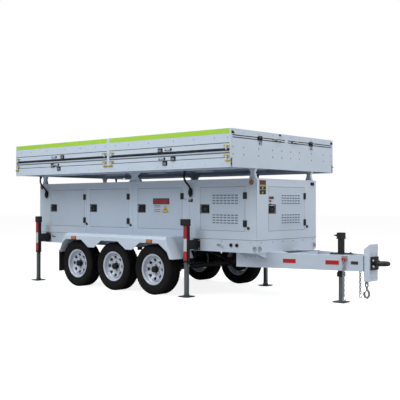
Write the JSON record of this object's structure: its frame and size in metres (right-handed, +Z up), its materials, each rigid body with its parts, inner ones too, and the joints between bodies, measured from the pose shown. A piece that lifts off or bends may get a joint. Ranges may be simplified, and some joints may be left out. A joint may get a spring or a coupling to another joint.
{
  "type": "solar power trailer",
  "caption": "Three-axle towed power trailer: a low cabinet with side doors carries a box of slide-out solar trays, with screw jacks and a bolt-on tow eye.",
  "frame": {"origin": "On the ground under the middle of the overall length and width", "axes": "+X towards the tow eye, +Y to the trailer's left, +Z up"},
  "size_m": [6.2449, 2.53, 2.259],
  "materials": {
    "white_paint": "satin bluish white powder coat",
    "white_rim": "gloss white",
    "tyre_rubber": "matte black",
    "black_plastic": "matte black",
    "black_rubber": "matte black",
    "black_steel": "satin black",
    "galvanised_leg": "dark galvanised",
    "tray_aluminium": "white painted face, mill finish inside",
    "zinc_chain": "dull zinc",
    "battery_case": "moulded black",
    "generator_paint": "green enamel",
    "solar_glass": "dark blue cells under clear glass",
    "amber_lens": "moulded lens"
  },
  "bodies": {
    "trailer": {"array_frame": "white_paint", "axle_beams": "black_steel", "battery_and_inverter_bank": "battery_case", "cabinet_shell": "white_paint", "chassis_frame": "white_paint", "conduits": "black_rubber", "coupler_channel": "white_paint", "door_hinges": "black_plastic", "fenders": "white_paint", "generator_set": "generator_paint", "jack_tubes": "black_steel", "leaf_springs": "black_steel", "marker_lamps": "amber_lens", "mudflaps": "black_rubber", "safety_chains": "zinc_chain", "top_solar_panels": "solar_glass", "tow_eye": "black_steel"},
    "battery_door_1_latch": {"battery_door_1_latch": "black_plastic"},
    "battery_door_1_left": {"battery_door_1_left": "white_paint"},
    "battery_door_1_right": {"battery_door_1_right": "white_paint"},
    "battery_door_2_latch": {"battery_door_2_latch": "black_plastic"},
    "battery_door_2_left": {"battery_door_2_left": "white_paint"},
    "battery_door_2_right": {"battery_door_2_right": "white_paint"},
    "end_tray_front_left": {"end_tray_front_left": "tray_aluminium"},
    "end_tray_front_right": {"end_tray_front_right": "tray_aluminium"},
    "end_tray_rear_left": {"end_tray_rear_left": "tray_aluminium"},
    "end_tray_rear_right": {"end_tray_rear_right": "tray_aluminium"},
    "front_door": {"front_door": "white_paint"},
    "front_door_latch": {"front_door_latch": "black_plastic"},
    "generator_door_latch": {"generator_door_latch": "black_plastic"},
    "generator_door_left": {"generator_door_left": "white_paint"},
    "generator_door_right": {"generator_door_right": "white_paint"},
    "inverter_door_latch": {"inverter_door_latch": "black_plastic"},
    "inverter_door_left": {"inverter_door_left": "white_paint"},
    "inverter_door_right": {"inverter_door_right": "white_paint"},
    "jack_leg_front_left": {"jack_leg_front_left": "galvanised_leg"},
    "jack_leg_front_right": {"jack_leg_front_right": "galvanised_leg"},
    "jack_leg_rear_left": {"jack_leg_rear_left": "galvanised_leg"},
    "jack_leg_rear_right": {"jack_leg_rear_right": "galvanised_leg"},
    "wheel_front_left": {"rim_front_left": "white_rim", "tyre_front_left": "tyre_rubber"},
    "wheel_front_right": {"rim_front_right": "white_rim", "tyre_front_right": "tyre_rubber"},
    "wheel_middle_left": {"rim_middle_left": "white_rim", "tyre_middle_left": "tyre_rubber"},
    "wheel_middle_right": {"rim_middle_right": "white_rim", "tyre_middle_right": "tyre_rubber"},
    "wheel_rear_left": {"rim_rear_left": "white_rim", "tyre_rear_left": "tyre_rubber"},
    "wheel_rear_right": {"rim_rear_right": "white_rim", "tyre_rear_right": "tyre_rubber"},
    "tongue_jack_leg": {"tongue_jack_leg": "galvanised_leg"},
    "tray_front_lower_left": {"tray_front_lower_left": "tray_aluminium"},
    "tray_front_lower_right": {"tray_front_lower_right": "tray_aluminium"},
    "tray_front_upper_left": {"tray_front_upper_left": "tray_aluminium"},
    "tray_front_upper_right": {"tray_front_upper_right": "tray_aluminium"},
    "tray_rear_lower_left": {"tray_rear_lower_left": "tray_aluminium"},
    "tray_rear_lower_right": {"tray_rear_lower_right": "tray_aluminium"},
    "tray_rear_upper_left": {"tray_rear_upper_left": "tray_aluminium"},
    "tray_rear_upper_right": {"tray_rear_upper_right": "tray_aluminium"}
  },
  "joints": [
    {"name": "spin_rear_right", "type": "hinge", "parent": "trailer", "child": "wheel_rear_right", "pos_m": [-1.6625, -0.972, 0.36], "axis": [0, 1, 0], "continuous": true},
    {"name": "spin_rear_left", "type": "hinge", "parent": "trailer", "child": "wheel_rear_left", "pos_m": [-1.6625, 0.972, 0.36], "axis": [0, 1, 0], "continuous": true},
    {"name": "spin_middle_right", "type": "hinge", "parent": "trailer", "child": "wheel_middle_right", "pos_m": [-0.8275, -0.972, 0.36], "axis": [0, 1, 0], "continuous": true},
    {"name": "spin_middle_left", "type": "hinge", "parent": "trailer", "child": "wheel_middle_left", "pos_m": [-0.8275, 0.972, 0.36], "axis": [0, 1, 0], "continuous": true},
    {"name": "spin_front_right", "type": "hinge", "parent": "trailer", "child": "wheel_front_right", "pos_m": [0.0075, -0.972, 0.36], "axis": [0, 1, 0], "continuous": true},
    {"name": "spin_front_left", "type": "hinge", "parent": "trailer", "child": "wheel_front_left", "pos_m": [0.0075, 0.972, 0.36], "axis": [0, 1, 0], "continuous": true},
    {"name": "lift_rear_right_jack", "type": "slide", "parent": "trailer", "child": "jack_leg_rear_right", "axis": [0, 0, 1], "range_m": [0, 0.38]},
    {"name": "lift_rear_left_jack", "type": "slide", "parent": "trailer", "child": "jack_leg_rear_left", "axis": [0, 0, 1], "range_m": [0, 0.38]},
    {"name": "lift_front_right_jack", "type": "slide", "parent": "trailer", "child": "jack_leg_front_right", "axis": [0, 0, 1], "range_m": [0, 0.38]},
    {"name": "lift_front_left_jack", "type": "slide", "parent": "trailer", "child": "jack_leg_front_left", "axis": [0, 0, 1], "range_m": [0, 0.38]},
    {"name": "lift_tongue_jack", "type": "slide", "parent": "trailer", "child": "tongue_jack_leg", "axis": [0, 0, 1], "range_m": [0, 0.33]},
    {"name": "pull_end_tray_front_left", "type": "slide", "parent": "trailer", "child": "end_tray_front_left", "axis": [1, 0, 0], "range_m": [0, 2.05]},
    {"name": "pull_end_tray_front_right", "type": "slide", "parent": "trailer", "child": "end_tray_front_right", "axis": [1, 0, 0], "range_m": [0, 2.05]},
    {"name": "pull_end_tray_rear_left", "type": "slide", "parent": "trailer", "child": "end_tray_rear_left", "axis": [-1, 0, 0], "range_m": [0, 2.05]},
    {"name": "pull_end_tray_rear_right", "type": "slide", "parent": "trailer", "child": "end_tray_rear_right", "axis": [-1, 0, 0], "range_m": [0, 2.05]},
    {"name": "pull_tray_front_lower_left", "type": "slide", "parent": "trailer", "child": "tray_front_lower_left", "axis": [0, 1, 0], "range_m": [0, 1.05]},
    {"name": "pull_tray_front_lower_right", "type": "slide", "parent": "trailer", "child": "tray_front_lower_right", "axis": [0, -1, 0], "range_m": [0, 1.05]},
    {"name": "pull_tray_front_upper_left", "type": "slide", "parent": "trailer", "child": "tray_front_upper_left", "axis": [0, 1, 0], "range_m": [0, 1.05]},
    {"name": "pull_tray_front_upper_right", "type": "slide", "parent": "trailer", "child": "tray_front_upper_right", "axis": [0, -1, 0], "range_m": [0, 1.05]},
    {"name": "pull_tray_rear_lower_left", "type": "slide", "parent": "trailer", "child": "tray_rear_lower_left", "axis": [0, 1, 0], "range_m": [0, 1.05]},
    {"name": "pull_tray_rear_lower_right", "type": "slide", "parent": "trailer", "child": "tray_rear_lower_right", "axis": [0, -1, 0], "range_m": [0, 1.05]},
    {"name": "pull_tray_rear_upper_left", "type": "slide", "parent": "trailer", "child": "tray_rear_upper_left", "axis": [0, 1, 0], "range_m": [0, 1.05]},
    {"name": "pull_tray_rear_upper_right", "type": "slide", "parent": "trailer", "child": "tray_rear_upper_right", "axis": [0, -1, 0], "range_m": [0, 1.05]},
    {"name": "swing_battery_door_1_right", "type": "hinge", "parent": "trailer", "child": "battery_door_1_right", "pos_m": [-1.9055, -0.728, 1.2275], "axis": [0, 0, 1], "range_deg": [0, 110]},
    {"name": "swing_battery_door_1_left", "type": "hinge", "parent": "trailer", "child": "battery_door_1_left", "pos_m": [-1.9055, 0.728, 1.2275], "axis": [0, 0, -1], "range_deg": [0, 110]},
    {"name": "pull_battery_door_1_latch", "type": "hinge", "parent": "battery_door_1_right", "child": "battery_door_1_latch", "pos_m": [-2.715, -0.712, 1.234], "axis": [-1, 0, 0], "range_deg": [0, 32], "stiffness_Nm_per_rad": 1.5},
    {"name": "swing_battery_door_2_right", "type": "hinge", "parent": "trailer", "child": "battery_door_2_right", "pos_m": [-0.8705, -0.728, 1.2275], "axis": [0, 0, 1], "range_deg": [0, 110]},
    {"name": "swing_battery_door_2_left", "type": "hinge", "parent": "trailer", "child": "battery_door_2_left", "pos_m": [-0.8705, 0.728, 1.2275], "axis": [0, 0, -1], "range_deg": [0, 110]},
    {"name": "pull_battery_door_2_latch", "type": "hinge", "parent": "battery_door_2_right", "child": "battery_door_2_latch", "pos_m": [-1.685, -0.712, 1.234], "axis": [-1, 0, 0], "range_deg": [0, 32], "stiffness_Nm_per_rad": 1.5},
    {"name": "swing_inverter_door_right", "type": "hinge", "parent": "trailer", "child": "inverter_door_right", "pos_m": [0.2545, -0.728, 1.2275], "axis": [0, 0, 1], "range_deg": [0, 105]},
    {"name": "swing_inverter_door_left", "type": "hinge", "parent": "trailer", "child": "inverter_door_left", "pos_m": [0.2545, 0.728, 1.2275], "axis": [0, 0, -1], "range_deg": [0, 105]},
    {"name": "pull_inverter_door_latch", "type": "hinge", "parent": "inverter_door_right", "child": "inverter_door_latch", "pos_m": [-0.575, -0.712, 1.234], "axis": [-1, 0, 0], "range_deg": [0, 32], "stiffness_Nm_per_rad": 1.5},
    {"name": "swing_generator_door_right", "type": "hinge", "parent": "trailer", "child": "generator_door_right", "pos_m": [1.3945, -0.728, 1.2275], "axis": [0, 0, 1], "range_deg": [0, 110]},
    {"name": "swing_generator_door_left", "type": "hinge", "parent": "trailer", "child": "generator_door_left", "pos_m": [1.3945, 0.728, 1.2275], "axis": [0, 0, -1], "range_deg": [0, 110]},
    {"name": "pull_generator_door_latch", "type": "hinge", "parent": "generator_door_right", "child": "generator_door_latch", "pos_m": [0.685, -0.712, 1.234], "axis": [-1, 0, 0], "range_deg": [0, 32], "stiffness_Nm_per_rad": 1.5},
    {"name": "swing_front_door", "type": "hinge", "parent": "trailer", "child": "front_door", "pos_m": [1.6005, 0.417, 1.2275], "axis": [0, 0, 1], "range_deg": [0, 110]},
    {"name": "pull_front_door_latch", "type": "hinge", "parent": "front_door", "child": "front_door_latch", "pos_m": [1.5845, -0.3775, 1.234], "axis": [0, -1, 0], "range_deg": [0, 32], "stiffness_Nm_per_rad": 1.5}
  ]
}
